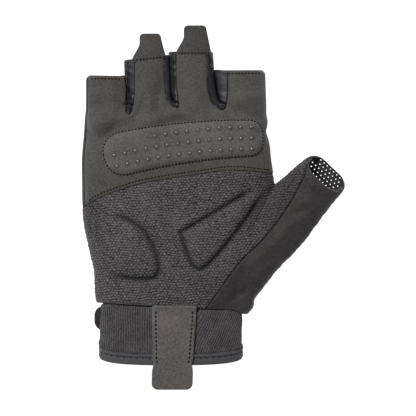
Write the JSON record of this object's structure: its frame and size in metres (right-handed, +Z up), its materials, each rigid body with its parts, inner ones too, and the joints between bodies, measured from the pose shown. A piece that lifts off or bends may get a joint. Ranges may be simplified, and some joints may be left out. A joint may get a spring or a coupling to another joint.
{
  "type": "weightlifting glove",
  "caption": "Fingerless padded training glove for the right hand, lying palm up: suede and knit palm, dotted grip pad, ribbed cuff and pull tabs.",
  "frame": {"origin": "middle of the glove's outline on the surface that it lies on", "axes": "+Y from the wrist to the fingertips, +X from the little finger to the thumb, +Z up, out of the palm"},
  "size_m": [0.14, 0.193, 0.0284],
  "materials": {
    "suede": "napped synthetic suede, brown-grey",
    "grip_pad": "padded suede with raised silicone dots",
    "knit": "textured knit, dark grey",
    "smooth_cloth": "smooth matt cloth, brown-black",
    "mesh": "perforated cloth, near black",
    "stretch": "stretch cloth with a slight sheen, blue-black",
    "ribbed": "finely ribbed knit, dark grey",
    "binding": "smooth folded binding, dark grey",
    "tab_suede": "napped synthetic suede, grey-brown"
  },
  "bodies": {
    "root": {"palm_suede_panel": "suede", "grip_pad": "grip_pad", "palm_knit_panel": "knit", "heel_pad": "knit", "thumb_base_pad": "knit", "thumb_panel": "smooth_cloth", "thumb_mesh_back": "mesh", "gusset_pinky_ring": "stretch", "gusset_ring_middle": "stretch", "gusset_middle_index": "stretch", "back_panel": "stretch", "cuff_band": "ribbed", "cuff_binding": "binding", "wrist_pull_tab": "tab_suede", "ring_pull_tab": "suede", "middle_pull_tab": "suede", "closure_strap": "smooth_cloth"}
  },
  "joints": []
}
